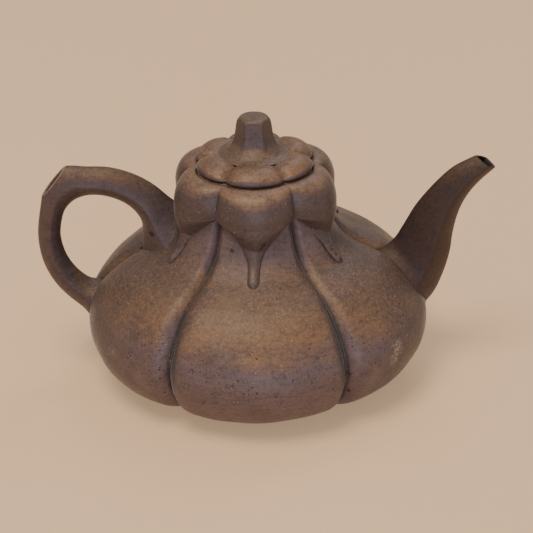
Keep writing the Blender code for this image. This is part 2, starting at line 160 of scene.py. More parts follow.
CUT_TO = (-79.4, 0.0, 73.3)

# the pale rings at the rim are partly wear and partly a painted highlight
SLICE_RINGS = (  # share of the slice, height in mm, how pale and how sooty
    (0.97, 0.14, 1.0, 0.0), (0.90, 0.2, 1.0, 0.0), (0.82, -0.05, 0.7, 0.0), (0.74, -0.5, 0.0, 0.9),
    (0.62, -0.8, 0.3, 0.3), (0.42, -0.9, 0.4, 0.1), (0.28, -0.95, 0.1, 0.5), (0.19, -1.0, 0.0, 1.0),
    (0.15, -1.8, 0.0, 1.0), (0.08, -2.3, 0.0, 1.0),
)

# ---- the clay's colours and marks

# painted light: WARM is the painted top light on faces turned up, PURPLE the faces turned away from it
WARM = (0.200, 0.104, 0.051)
PURPLE = (0.125, 0.084, 0.088)
# BROWN is both painted side shade and the colour of the smoke clouds and wiping marks
BROWN = (0.054, 0.038, 0.038)
GOLD = (0.30, 0.175, 0.085)
DARK = (0.020, 0.013, 0.010)
PATCH_SHADE = (0.036, 0.026, 0.025)
RESIDUE = (0.026, 0.027, 0.022)
PALE = (0.36, 0.29, 0.22)
SHADE = (0.011, 0.008, 0.009)
MICA_DULL, MICA_BRIGHT = (0.42, 0.28, 0.15), (0.68, 0.58, 0.44)
FLOOR_TONE = (0.60, 0.408, 0.252)
FLOOR_GLOW = 0.55

# the neck is purple where the painted top light is held back
NECK_END = (72.0, 78.0)  # heights over which the purple of the neck ends
SIDE_TURN = (0.25, 0.80)  # how squarely a face looks front or back, from brown to clear
# painted shade: faces turned to the side are mixed towards BROWN
WIPED_FLAT = (0.45, 0.45, 2.6)  # wiping marks run round the pot
PIT_HEIGHT = 25.0
PIT_BAND = (9.0, 19.0)  # distance from that height where pits thin out
PIT_CELLS = ((2.3, 0.31, 0.56, 0.20), (1.35, 1.7, 0.60, 0.27))  # cell size, seed, share left out, pit size
RESIDUE_FADE = (38.0, 62.0)
FLECK_SHAPE = (1.0, 0.8, 0.3)
FLECK_SPREAD = (0.35, 1.25)
KILN_MARKS = (  # place, radius, how dark
    ((2.9, -31.6, 65.7), 0.95, 1.0), ((2.2, -31.7, 64.6), 0.9, 1.0), ((1.6, -31.8, 63.7), 0.7, 0.9),
    ((-8.9, -28.0, 61.8), 1.15, 0.9), ((-39.2, -7.1, 58.7), 1.5, 0.9), ((-44.0, 1.2, 48.4), 1.0, 0.9),
    ((28.0, -19.9, 57.4), 0.9, 0.8), ((29.6, -20.6, 55.7), 0.9, 0.8), ((31.4, -21.3, 53.9), 0.9, 0.8),
    ((32.8, -50.6, 22.3), 1.3, 0.9), ((32.9, -49.7, 14.3), 1.1, 0.8), ((-34.6, -50.7, 15.6), 0.6, 0.9),
    ((-37.1, -48.3, 10.8), 0.6, 0.8), ((-20.2, -61.2, 17.4), 0.7, 0.8), ((12.6, -64.2, 27.8), 0.6, 0.8),
    ((-0.6, -66.2, 24.0), 0.6, 0.9), ((6.2, -66.0, 22.2), 0.5, 0.9),
)
# painted shade: dark patches low on the right and front, higher on the right, and low on the left of the body
SHADE_PATCHES = (
    ((52.0, -37.0, 17.0), 17.0, 0.62), ((33.0, -52.0, 12.0), 11.0, 0.35), ((-54.0, -34.0, 18.0), 14.0, 0.38),
    ((48.0, -30.0, 38.0), 14.0, 0.32),
)
CHALK_MARKS = (
    ((51.8, -40.0, 26.3), 4.6, 1.0), ((50.2, -42.4, 22.5), 3.4, 0.9), ((-54.3, -37.0, 25.1), 3.6, 0.4),
)

# ---- curves and the lobe rule


def eased(table, x):
    """A smooth reading of ((x, value), ...), with no corner at the table's entries."""
    wide = (table[-1][0] - table[0][0]) * 0.05
    return float(np.interp([x + wide * k for k in (-1.5, -0.75, 0, 0.75, 1.5)], *zip(*table)).mean())


def smooth_rows(points, count):
    """count tuples evenly spaced along a Catmull-Rom curve through points."""
    fine = []
    pieces = 24
    last = len(points) - 1
    for i in range(last):
        p0, p1, p2, p3 = points[max(i - 1, 0)], points[i], points[i + 1], points[min(i + 2, last)]
        for k in range(pieces):
            t = k / pieces
            fine.append(tuple(
                0.5 * (2 * b + (c - a) * t + (2 * a - 5 * b + 4 * c - d) * t * t + (3 * b - a - 3 * c + d) * t ** 3)
                for a, b, c, d in zip(p0, p1, p2, p3)
            ))
    fine.append(tuple(float(v) for v in points[-1]))
    fine = np.array(fine)
    gone = np.concatenate([[0], np.cumsum(np.hypot(*(np.diff(fine[:, :2], axis=0).T)))])
    want = np.linspace(0, gone[-1], count)
    even = np.stack([np.interp(want, gone, fine[:, k]) for k in range(fine.shape[1])], 1)
    return [tuple(row) for row in even]


def smooth_step(x):
    x = min(1.0, max(0.0, x))
    return x * x * (3 - 2 * x)


def offset_rows(rows, distance):
    moved = []
    for i, (r, z) in enumerate(rows):
        (r0, z0), (r1, z1) = rows[max(i - 1, 0)], rows[min(i + 1, len(rows) - 1)]
        length = math.hypot(r1 - r0, z1 - z0)
        moved.append((r - (z1 - z0) / length * distance, z + (r1 - r0) / length * distance))
    return moved


def bearing(lobe_angle):
    sector, part = divmod(lobe_angle % 360.0, SECTOR)
    start, stop = GROOVE_BEARINGS[int(sector)], GROOVE_BEARINGS[int(sector) + 1]
    return math.radians(start + (stop - start) * part / SECTOR)


def fine_columns():
    """Equal-lobe angles round the pot, packed closer towards the grooves."""
    half = [30.0 * (k / FINE_STEPS) ** 1.6 for k in range(FINE_STEPS + 1)]
    lobe = half + [SECTOR - v for v in half[-2:0:-1]]
    return [n * SECTOR + v for n in range(LOBES) for v in lobe]


def lobe_units(angle):
    """The equal-lobe angle of a real bearing in degrees, folded over the mid plane to 0..180."""
    a = np.abs((np.asarray(angle) + 180.0) % 360.0 - 180.0)
    return np.interp(a, (0, 90 - FRONT_HALF, 90 + FRONT_HALF, 180), (0, 60, 120, 180))


def groove_shares(angle):
    """(crease, swell, equal-lobe angle) at a real bearing, as the press_lobes tree works them out."""
    lobe = lobe_units(angle)
    off = lobe % SECTOR
    t = np.minimum(off, SECTOR - off)
    return np.maximum(0, 1 - t / CREASE_WIDTH) ** 2, np.maximum(0, 1 - t / 30) ** 2, lobe


BODY_ROWS = smooth_rows(BODY_OUTLINE, 118)
BODY_LINE = np.array(BODY_ROWS)


def outline_radius(z):
    """Radius of the body's outline at a height above its widest point."""
    top = BODY_LINE[BODY_LINE[:, 1] > 24]
    return float(np.interp(z, top[:, 1], top[:, 0]))


def body_moves(z):
    return eased(BODY_CREASE, z), eased(BODY_SWELL, z)


def body_press(angle_deg, z):
    crease, swell, lobe = groove_shares(angle_deg)
    deep, wide = body_moves(z)
    return (deep * crease + wide * swell) * np.where(lobe > 150, HANDLE_GROOVE, 1.0)


def line_gap(points, line):
    """Signed distance of (n, 2) points from an outline that runs up the outer side: negative inside."""
    best = np.full(len(points), 1e9)
    sign = np.ones(len(points))
    for a, b in zip(line, line[1:]):
        ab = b - a
        t = np.clip(((points - a) @ ab) / (ab @ ab), 0, 1)
        off = points - (a + t[:, None] * ab)
        far = np.hypot(off[:, 0], off[:, 1])
        side = np.where(ab[1] * off[:, 0] > ab[0] * off[:, 1], 1.0, -1.0)
        closer = far < best
        best, sign = np.where(closer, far, best), np.where(closer, side, sign)
    return best * sign


COLLAR_LINE = np.array([(27.0, 58.0), (31.0, 62.0), (32.2, 68.0), *COLLAR_OUTLINE[::-1], (14.0, 84.0)])


def pot_gap(rings, with_collar=False):
    """Signed distance of rings of points from the body's lobed outer skin, and from the collar's if asked."""
    x, y, z = rings.reshape(-1, 3).T
    radius = np.hypot(x, y)
    crease, swell, lobe = groove_shares(np.degrees(np.arctan2(y, x)))
    share = np.where(lobe > 150, HANDLE_GROOVE, 1.0)
    deep, wide = np.interp(z, *zip(*BODY_CREASE)), np.interp(z, *zip(*BODY_SWELL))
    gap = line_gap(np.stack([radius + (deep * crease + wide * swell) * share, z], 1), BODY_LINE[::2])
    if with_collar:
        gap = np.minimum(gap, line_gap(np.stack([radius + COLLAR_SWELL * swell, z], 1), COLLAR_LINE))
    return gap.reshape(rings.shape[:2])


# ---- mesh helpers


def link(name, data):
    made = bpy.data.objects.new(name, data)
    bpy.context.scene.collection.objects.link(made)
    return made


def from_bmesh(name, bm):
    mesh = bpy.data.meshes.new(name)
    bm.to_mesh(mesh)
    bm.free()
    return link(name, mesh)


def grid_mesh(name, rings, closed_rows=False, caps=False, attributes=None):
    """A mesh skinned over an array of rings, (rows, columns, 3) in millimetres, each ring closed."""
    rings = np.asarray(rings, float)
    rows, cols = rings.shape[:2]
    verts = [tuple(v) for v in rings.reshape(-1, 3) * MM]
    faces = []
    for i in range(rows if closed_rows else rows - 1):
        n = (i + 1) % rows
        for j in range(cols):
            k = (j + 1) % cols
            faces.append((i * cols + j, i * cols + k, n * cols + k, n * cols + j))
    if caps:
        for ring, turned in ((0, True), (rows - 1, False)):
            middle = len(verts)
            verts.append(tuple(rings[ring].mean(0) * MM))
            for j in range(cols):
                k = (j + 1) % cols
                tri = (ring * cols + j, ring * cols + k, middle)
                faces.append(tri[::-1] if turned else tri)
    mesh = bpy.data.meshes.new(name)
    mesh.from_pydata(verts, [], faces)
    for label, values in (attributes or {}).items():
        values = np.asarray(values, np.float32).reshape(rows * cols, -1)
        extra = len(verts) - len(values)
        if extra:
            values = np.concatenate([values, np.repeat(values[-1:], extra, 0)])
        kind = "FLOAT" if values.shape[1] == 1 else "FLOAT_VECTOR"
        held = mesh.attributes.new(label, kind, "POINT")
        held.data.foreach_set("value" if kind == "FLOAT" else "vector", values.ravel())
    mesh.update()
    face_out(mesh)
    return mesh


def face_out(mesh):
    bm = bmesh.new()
    bm.from_mesh(mesh)
    bmesh.ops.recalc_face_normals(bm, faces=bm.faces)
    if bm.calc_volume(signed=True) < 0:
        bmesh.ops.reverse_faces(bm, faces=bm.faces)
    bm.to_mesh(mesh)
    bm.free()


def evaluated_copy(obj, name):
    """A plain mesh object from what obj's modifiers make of it. The one it came from is removed."""
    graph = bpy.context.evaluated_depsgraph_get()
    graph.update()
    mesh = bpy.data.meshes.new_from_object(obj.evaluated_get(graph), depsgraph=graph)
    mesh.name = name
    bpy.data.objects.remove(obj, do_unlink=True)
    return link(name, mesh)


def finished(mesh, material, sharp_deg):
    """An object in its material, smooth but for edges sharper than sharp_deg."""
    made = link(mesh.name, mesh)
    mesh.materials.append(material)
    mesh.shade_smooth()
    mesh.set_sharp_from_angle(angle=math.radians(sharp_deg))
    return made


def hand_unevenness(rings, size_mm, amount, seed):
    """Moves the points of rings by slow noise, as a hand's pressure leaves them."""
    out = np.array(rings, float).reshape(-1, 3)
    shift = Vector((seed * 17.3, seed * 5.1, seed * 9.7))
    for i, p in enumerate(out):
        out[i] += np.array(noise.noise_vector(Vector(p) / size_mm + shift)) * amount
    return out.reshape(np.shape(rings))


# ---- node trees


class Nodes:
    """Builds a node tree: adds nodes, fills their sockets and lays them out."""

    def __init__(self, tree):
        self.tree = tree
        self.step = 0

    def feed(self, socket, value):
        if isinstance(value, bpy.types.Node):
            value = value.outputs[0]
        if isinstance(value, bpy.types.NodeSocket):
            self.tree.links.new(value, socket)
        else:
            socket.default_value = value

    def add(self, kind, *values, **given):
        """A new node. Its first sockets take the values. Lower-case words are settings, others are sockets."""
        node = self.tree.nodes.new(kind)
        node.location = (self.step % 12 * 200, -(self.step // 12) * 260)
        self.step += 1
        for name, value in given.items():
            if name[0].islower():
                setattr(node, name, value)
        for socket, value in zip(node.inputs, values):
            self.feed(socket, value)
        for name, value in given.items():
            if name[0].isupper():
                self.feed(node.inputs[name.replace("_", " ")], value)
        return node

    def math(self, operation, *values, clamp=False):
        return self.add("ShaderNodeMath", *values, operation=operation, use_clamp=clamp).outputs[0]

    def times(self, *values):
        product = values[0]
        for value in values[1:]:
            product = self.math("MULTIPLY", product, value)
        return product

    def vector(self, operation, *values, **given):
        node = self.add("ShaderNodeVectorMath", *values, operation=operation, **given)
        return node.outputs["Value" if operation in ("DOT_PRODUCT", "DISTANCE") else "Vector"]

    def ramp(self, value, low, high, to_low=0.0, to_high=1.0, kind="SMOOTHSTEP"):
        ends = (value, low, high, to_low, to_high)
        return self.add("ShaderNodeMapRange", *ends, clamp=True, interpolation_type=kind).outputs["Result"]

    def read(self, name, kind="FLOAT_VECTOR"):
        return self.add("GeometryNodeInputNamedAttribute", data_type=kind, Name=name).outputs["Attribute"]


def start_tree(name, sizes):
    """A Geometry Nodes tree with named inputs, and the sockets that bring them in."""
    made = Nodes(bpy.data.node_groups.new(name, "GeometryNodeTree"))
    face = made.tree.interface
    face.new_socket(name="Geometry", in_out="INPUT", socket_type="NodeSocketGeometry")
    for words, value in sizes.items():
        kind = "NodeSocketInt" if isinstance(value, int) else "NodeSocketFloat"
        face.new_socket(name=words, in_out="INPUT", socket_type=kind).default_value = value
    face.new_socket(name="Material", in_out="INPUT", socket_type="NodeSocketMaterial")
    face.new_socket(name="Geometry", in_out="OUTPUT", socket_type="NodeSocketGeometry")
    return made, made.add("NodeGroupInput").outputs


def end_tree(made, shape, material):
    real = made.add("GeometryNodeRealizeInstances", shape)
    clad = made.add("GeometryNodeSetMaterial", Geometry=real, Material=material)
    made.add("NodeGroupOutput", clad)
    return made.tree


def press_lobes_tree():
    """Presses six grooves into a turned shape. Each point carries how far it goes in and down on a groove,
    as crease_move for the sharp valley and swell_move for the rounding of the whole lobe."""
    made, given = start_tree("press_lobes", {
        "Front half spread": FRONT_HALF, "Crease width": CREASE_WIDTH, "Valley round": 0.35, "Handle groove": 1.0,
        "Incised depth": 0.0, "Incised width": 1.2, "Unevenness": 0.0002, "Uneven size": 0.02, "Seed": 1.0,
    })
    do = made.math
    x, y, _ = made.add("ShaderNodeSeparateXYZ", made.add("GeometryNodeInputPosition")).outputs
    angle = do("ABSOLUTE", do("DEGREES", do("ARCTAN2", y, x)))
    side = do("SUBTRACT", 90.0, given["Front half spread"])
    far_side = do("SUBTRACT", 180.0, side)
    lobe = 0.0
    for low, high in ((0.0, side), (side, far_side), (far_side, 180.0)):
        lobe = do("ADD", lobe, made.ramp(angle, low, high, 0.0, SECTOR, "LINEAR"))
    off = do("PINGPONG", lobe, SECTOR / 2)
    rounded = do("SQRT", do("ADD", do("MULTIPLY", off, off), do("POWER", given["Valley round"], 2.0)))
    sharp = do("SUBTRACT", 1.0, do("DIVIDE", rounded, given["Crease width"]), clamp=True)
    broad = do("SUBTRACT", 1.0, do("DIVIDE", off, SECTOR / 2), clamp=True)
    by_handle = do("GREATER_THAN", lobe, 2.5 * SECTOR)
    strength = do("SUBTRACT", 1.0, made.times(by_handle, do("SUBTRACT", 1.0, given["Handle groove"])))
    crease, swell = made.times(sharp, sharp, strength), made.times(broad, broad, strength)
    moves = []
    for name, share in (("crease_move", crease), ("swell_move", swell)):
        parts = made.add("ShaderNodeSeparateXYZ", made.read(name)).outputs
        moves += [made.times(parts[0], share), made.times(parts[1], share)]
    crease_in, crease_down, swell_in, swell_down = moves
    cut = do("SUBTRACT", 1.0, do("DIVIDE", rounded, given["Incised width"]), clamp=True)
    cut = made.times(cut, given["Incised depth"], do("GREATER_THAN", crease_in, 0.0))
    inward = do("ADD", do("ADD", crease_in, swell_in), cut)
    away = made.vector("NORMALIZE", made.add("ShaderNodeCombineXYZ", x, y))
    pull = made.vector("SCALE", away, Scale=made.times(inward, -1.0))
    drop = made.add("ShaderNodeCombineXYZ", Z=made.times(do("ADD", crease_down, swell_down), -1.0))
    pressed = made.add("GeometryNodeSetPosition", Geometry=given["Geometry"], Offset=made.vector("ADD", pull, drop))
    kept = made.add("GeometryNodeStoreNamedAttribute", data_type="FLOAT", domain="POINT", Geometry=pressed,
                    Name="groove", Value=crease)
    rough = made.add("ShaderNodeTexNoise", noise_dimensions="4D", Vector=made.add("GeometryNodeInputPosition"),
                     W=given["Seed"], Scale=do("DIVIDE", 1.0, given["Uneven size"]), Detail=1.0)
    swing = made.times(do("SUBTRACT", rough, 0.5), given["Unevenness"])
    push = made.vector("SCALE", made.add("GeometryNodeInputNormal"), Scale=swing)
    worked = made.add("GeometryNodeSetPosition", Geometry=kept, Offset=push)
    return end_tree(made, made.add("GeometryNodeSetShadeSmooth", Geometry=worked), given["Material"])


def mica_tree():
    """Scatters flat flecks over the outer skin of a surface."""
    made, given = start_tree("mica_flecks", {"Flecks per square metre": 5000.0, "Fleck radius": 0.0002, "Seed": 3})
    skin = made.math("GREATER_THAN", made.read("outside", "FLOAT"), 0.5)
    scatter = made.add("GeometryNodeDistributePointsOnFaces", distribute_method="RANDOM", Mesh=given["Geometry"],
                       Selection=skin, Density=given["Flecks per square metre"], Seed=given["Seed"])
    fleck = made.add("GeometryNodeMeshIcoSphere", Radius=given["Fleck radius"], Subdivisions=1)
    flat = made.add("GeometryNodeTransform", Geometry=fleck, Scale=FLECK_SHAPE)
    vary = made.add("FunctionNodeRandomValue", data_type="FLOAT", Seed=11)
    vary.inputs[2].default_value, vary.inputs[3].default_value = FLECK_SPREAD
    place = made.add("GeometryNodeInstanceOnPoints", Points=scatter.outputs["Points"], Instance=flat,
                     Rotation=scatter.outputs["Rotation"], Scale=vary.outputs[1])
    return end_tree(made, place, given["Material"])


def tail_tree():
    """Rolls a strip of clay down a path: a round profile swept along it, swelling and thinning with its
    radius, then pressed flatter on its outer and its inner side."""
    made, given = start_tree("rolled_tail", {"Outer flat": 0.25, "Inner flat": 0.8, "Sides": 28, "Steps": 70})
    path = made.add("GeometryNodeMeshToCurve", given["Geometry"])
    even = made.add("GeometryNodeResampleCurve", Curve=path, Count=given["Steps"])
    ring = made.add("GeometryNodeCurvePrimitiveCircle", mode="RADIUS", Resolution=given["Sides"], Radius=1.0)
    sweep = made.add("GeometryNodeCurveToMesh", Curve=even, Profile_Curve=ring, Fill_Caps=True,
                     Scale=made.read("roll_radius", "FLOAT"))
    middle, out = made.read("path_place"), made.read("path_out")
    away = made.vector("SUBTRACT", made.add("GeometryNodeInputPosition"), middle)
    high = made.vector("DOT_PRODUCT", away, out)
    inner = made.math("LESS_THAN", high, 0.0)
    more = made.math("SUBTRACT", given["Inner flat"], given["Outer flat"])
    share = made.math("MULTIPLY_ADD", inner, more, given["Outer flat"])
    press = made.vector("SCALE", out, Scale=made.times(high, made.times(share, -1.0)))
    flat = made.add("GeometryNodeSetPosition", Geometry=sweep, Offset=press)
    return end_tree(made, made.add("GeometryNodeSetShadeSmooth", Geometry=flat), given["Material"])


def run_tree(obj, tree, **inputs):
    """Puts a tree on an object with inputs named in words, and returns the plain mesh that it makes."""
    name = obj.name
    modifier = obj.modifiers.new(tree.name, "NODES")
    modifier.node_group = tree
    sockets = {s.name: s.identifier for s in tree.interface.items_tree if s.in_out == "INPUT"}
    for words, value in inputs.items():
        modifier[sockets[words.replace("_", " ")]] = value
    obj.name = name + "_before"
    return evaluated_copy(obj, name)


# ---- materials


class Finish(Nodes):
    """A material's nodes, on the piece's own coordinates."""

    def __init__(self, name):
        self.material = bpy.data.materials.new(name)
        self.material.use_nodes = True
        super().__init__(self.material.node_tree)
        self.shader = self.tree.nodes["Principled BSDF"]
        self.place = self.add("ShaderNodeTexCoord").outputs["Object"]

    def noise(self, size_mm, detail=2.0, rough=0.5, stretch=None):
        place = self.add("ShaderNodeMapping", Vector=self.place, Scale=stretch) if stretch else self.place
        return self.add("ShaderNodeTexNoise", Vector=place, Scale=PER_METRE / size_mm, Detail=detail,
                        Roughness=rough).outputs[0]

    def cells(self, size_mm, seed, ragged):
        """(distance to the nearest cell's middle, that cell's random colour); ragged bends the outlines."""
        bend = self.add("ShaderNodeTexNoise", Vector=self.place, Scale=2.2 * PER_METRE / size_mm).outputs[1]
        bent = self.vector("ADD", self.place, self.vector("SCALE", bend, Scale=ragged * size_mm * MM))
        moved = self.vector("ADD", bent, (seed, seed * 0.7, seed * 1.3))
        made = self.add("ShaderNodeTexVoronoi", Vector=moved, Scale=PER_METRE / size_mm)
        return made.outputs["Distance"], made.outputs["Color"]

    def mix(self, share, under, over):
        made = self.add("ShaderNodeMix", data_type="RGBA", Factor=share)
        for socket, value in zip([s for s in made.inputs if s.type == "RGBA"], (under, over)):
            self.feed(socket, (*value, 1.0) if isinstance(value, tuple) else value)
        return [s for s in made.outputs if s.type == "RGBA"][0]

    def attribute(self, name):
        return self.add("ShaderNodeAttribute", attribute_type="GEOMETRY", attribute_name=name).outputs["Fac"]

    def patch(self, size_mm, detail, rough, start, full, stretch=None):
        """Noise cut to patches: 0 where it is under start, 1 where it is over full."""
        return self.ramp(self.noise(size_mm, detail, rough, stretch), start, full)

    def spot(self, place_mm, radius_mm, strength, hardness):
        """strength inside a blot round a place, 0 outside it, with a ragged edge."""
        away = self.vector("DISTANCE", self.place, [v * MM for v in place_mm])
        radius = radius_mm * MM
        ragged = self.math("MULTIPLY_ADD", self.noise(1.6, detail=3.0), radius * 0.9, away)
        return self.ramp(ragged, radius * (0.45 + hardness * 0.6), radius * 1.45, strength, 0.0)


def clay(name, burnish=0.5, tone=1.0, grooves=0.0, pits=1.0, marks_and_shade_patches=False, side_shade=0.75, low=PURPLE, top=WARM,
         neck_from=49.0, fade=0.0, painted_top_light_from=0.36, painted_top_light_to=0.70, sheen=0.28, shine=0.5):
    """Fired purple-brown stoneware: a golden painted top light on faces turned up, purple below and brown painted
    side shade, gritty and pitted, with residue in the grooves and a low sheen. Heights are in millimetres."""
    s = Finish(name)
    slope = s.add("ShaderNodeSeparateXYZ", s.add("ShaderNodeNewGeometry").outputs["Normal"]).outputs
    high = s.times(s.add("ShaderNodeSeparateXYZ", s.place).outputs[2], PER_METRE)
    across = s.math("ABSOLUTE", slope[1])

    # painted light: golden painted top light on faces turned up, held back on the neck, purple on faces below,
    # brown painted side shade where a face turns to the side, and patches of painted shade
    neck = s.times(s.ramp(high, neck_from, neck_from + 10.0), s.ramp(high, *NECK_END, 1.0, 0.0))
    patches = s.math("MULTIPLY_ADD", s.noise(17, detail=4.0, rough=0.6), 0.56, -0.28)
    painted_top_light = s.ramp(s.math("ADD", slope[2], patches), painted_top_light_from, painted_top_light_to)
    painted_top_light = s.times(painted_top_light, s.ramp(across, 0.05, 0.5, 1.0 - fade, 1.0), s.math("MULTIPLY_ADD", neck, -0.72, 1.0))
    colour = s.mix(painted_top_light, low, top)
    # painted shade: faces turned to the side are mixed towards BROWN
    side = s.ramp(across, *SIDE_TURN, side_shade, 0.0)
    colour = s.mix(s.times(side, s.math("MULTIPLY_ADD", painted_top_light, -0.5, 1.0)), colour, BROWN)
    # painted shade patches
    for place, radius, depth in SHADE_PATCHES if marks_and_shade_patches else ():
        colour = s.mix(s.spot(place, radius, depth, 0.0), colour, PATCH_SHADE)

    # smoke clouds, wiping marks, golden grit that is thicker under the painted top light, and soot
    colour = s.mix(s.times(s.patch(10, 5.0, 0.72, 0.44, 0.72), 0.62), colour, BROWN)
    colour = s.mix(s.times(s.patch(2.6, 6.0, 0.8, 0.42, 0.66, WIPED_FLAT), 0.48), colour, BROWN)
    grit = s.math("MULTIPLY_ADD", painted_top_light, 0.36, 0.12)
    colour = s.mix(s.times(s.patch(1.15, 3.0, 0.85, 0.46, 0.66), grit), colour, GOLD)
    colour = s.mix(s.times(s.patch(1.5, 4.0, 0.9, 0.53, 0.63), 0.52), colour, DARK)

    # pits, thickest in a band low on the body, and the larger marks left by the kiln
    band = s.ramp(s.math("ABSOLUTE", s.math("SUBTRACT", high, PIT_HEIGHT)), *PIT_BAND, 1.0, 0.30)
    spots = 0.0
    for size, seed, few, near in PIT_CELLS:
        far, tint = s.cells(size, seed, ragged=0.35)
        chosen = s.ramp(s.add("ShaderNodeSeparateColor", tint), few, few + 0.04)
        flock = s.ramp(s.noise(6 + 5 * seed, detail=3.0), 0.36, 0.58, 0.15, 1.0)
        speck = s.times(s.ramp(far, near * 0.45, near, 1.0, 0.0), chosen, flock)
        spots = s.math("MAXIMUM", spots, speck)
    spots = s.math("MULTIPLY", spots, s.times(band, pits), clamp=True)
    for place, radius, depth in KILN_MARKS if marks_and_shade_patches else ():
        spots = s.math("MAXIMUM", spots, s.spot(place, radius, depth, 0.9))
    colour = s.mix(s.times(spots, 0.9), colour, DARK)

    # residue in the grooves, the pale rim of the slice, partly wear and partly a painted highlight, soot in
    # the slice's dish, painted shade in the spout's bore, and dry scuffs
    if grooves:
        uneven = s.ramp(s.noise(3.5, detail=4.0), 0.25, 0.55, 0.55, 1.0)
        dirt = s.times(s.ramp(s.attribute("groove"), 0.66, 0.88), uneven, s.ramp(high, *RESIDUE_FADE, 1.0, 0.5))
        colour = s.mix(s.times(dirt, grooves), colour, RESIDUE)
    colour = s.mix(s.times(s.attribute("wear_and_highlight"), 0.9), colour, PALE)
    colour = s.mix(s.times(s.attribute("bore_shade_and_residue"), 0.97), colour, DARK)
    for place, radius, depth in CHALK_MARKS if marks_and_shade_patches else ():
        colour = s.mix(s.times(s.patch(1.2, 5.0, 0.85, 0.46, 0.60), s.spot(place, radius, depth, 0.2)), colour, PALE)
    # painted shade: a tone under 1 darkens the whole piece towards SHADE
    if tone != 1.0:
        colour = s.mix(1.0 - tone, colour, SHADE)

    gloss = s.math("MULTIPLY_ADD", s.noise(13, detail=4.0, rough=0.65), 0.26, 0.47 - 0.22 * burnish)
    gloss = s.math("ADD", gloss, s.times(spots, 0.3), clamp=True)
    coarse = s.times(s.noise(2.3, detail=4.0, rough=0.65), 0.20)
    relief = s.math("MULTIPLY_ADD", s.noise(0.85, detail=3.0, rough=0.8), 0.19, coarse)
    relief = s.math("SUBTRACT", relief, s.times(spots, 0.22))
    bump = s.add("ShaderNodeBump", Strength=0.7, Distance=MM, Height=relief)
    for socket, value in {
        "Base Color": colour, "Roughness": gloss, "Normal": bump, "IOR": 1.5, "Specular IOR Level": shine,
        "Sheen Weight": sheen, "Sheen Roughness": 0.22, "Sheen Tint": (0.82, 0.86, 0.90, 1.0),
    }.items():
        s.feed(s.shader.inputs[socket], value)
    return s.material


def mica():
    s = Finish("golden_mica")
    s.feed(s.shader.inputs["Base Color"], s.mix(s.noise(4.0), MICA_DULL, MICA_BRIGHT))
    s.shader.inputs["Roughness"].default_value = 0.45
    return s.material


def plain_floor():
    s = Finish("pale_floor")
    tone = s.mix(s.noise(400.0), FLOOR_TONE, tuple(v * 1.01 for v in FLOOR_TONE))
    for socket, value in {
        "Base Color": tone, "Roughness": 0.9, "Specular IOR Level": 0.0,
        "Emission Color": (*FLOOR_TONE, 1.0), "Emission Strength": FLOOR_GLOW,
    }.items():
        s.feed(s.shader.inputs[socket], value)
    return s.material


# ---- turned and pressed pieces


def turned(name, rows, tree, material, closed=True, **inputs):
    """A turned piece pressed into lobes. A row is (radius, height, crease move, swell move, crease drop,
    swell drop, outside), one for the whole turn or one for each of its columns."""
    columns = fine_columns()
    data = np.asarray(rows, float)
    if data.ndim == 2:
        data = np.repeat(data[:, None], len(columns), 1)
    angles = np.array([bearing(a) for a in columns])
    r, z, crease_in, swell_in, crease_down, swell_down, outside = np.moveaxis(data, -1, 0)
    rings = np.stack([r * np.cos(angles), r * np.sin(angles), z], -1)
    still = np.zeros(z.shape)
    held = {
        "crease_move": np.stack([crease_in * MM, crease_down * MM, still], -1),
        "swell_move": np.stack([swell_in * MM, swell_down * MM, still], -1),
        "outside": outside,
    }
    mesh = grid_mesh(name, rings, closed_rows=closed, caps=not closed, attributes=held)
    return run_tree(link(name, mesh), tree, Material=material, **inputs)


def body_row(r, z, outside=1.0):
    deep, wide = body_moves(z)
    return (r, z, deep, wide, 0.0, 0.0, outside)


def make_wall(tree, material):
    rows = [body_row(r, z) for r, z in BODY_ROWS]
    upper = [p for p in smooth_rows(BODY_OUTLINE, 70) if p[1] > 6.0]
    inner = offset_rows(upper, WALL)[::-1]
    rim_r, rim_z = BODY_ROWS[-1]
    rows.append(body_row(rim_r - WALL, rim_z, 0.0))
    rows += [body_row(r, z, 0.0) for r, z in inner[1:]]
    edge = FOOT_RADIUS + 0.15
    for r, z in ((edge + 5.0, FOOT_THICK + 1.2), (edge, FOOT_THICK), (edge, 2.0), (edge, 0.8)):
        rows.append(body_row(r, z, 0.0))
    return turned("melon_wall", rows, tree, material, Handle_groove=HANDLE_GROOVE, Crease_width=6.2,
                  Incised_depth=0.0006, Unevenness=0.0022, Uneven_size=0.022)


def make_slab(tree, material):
    deep, wide, top = BODY_CREASE[0][1], BODY_SWELL[0][1], FOOT_THICK - 0.3
    rows = [
        (2.0, 0.0), (20.0, 0.0), (40.0, 0.0), (FOOT_RADIUS - 1.0, 0.0), (FOOT_RADIUS - 0.5, 0.1),
        (FOOT_RADIUS - 0.15, 0.3), (FOOT_RADIUS, 0.7), (FOOT_RADIUS, top), (20.0, top), (2.0, top),
    ]
    rows = [(r, z, deep * (r / FOOT_RADIUS) ** 6, wide * (r / FOOT_RADIUS) ** 6, 0.0, 0.0, 0.0) for r, z in rows]
    return turned("foot_floor", rows, tree, material, closed=False, Handle_groove=HANDLE_GROOVE, Unevenness=0.0)


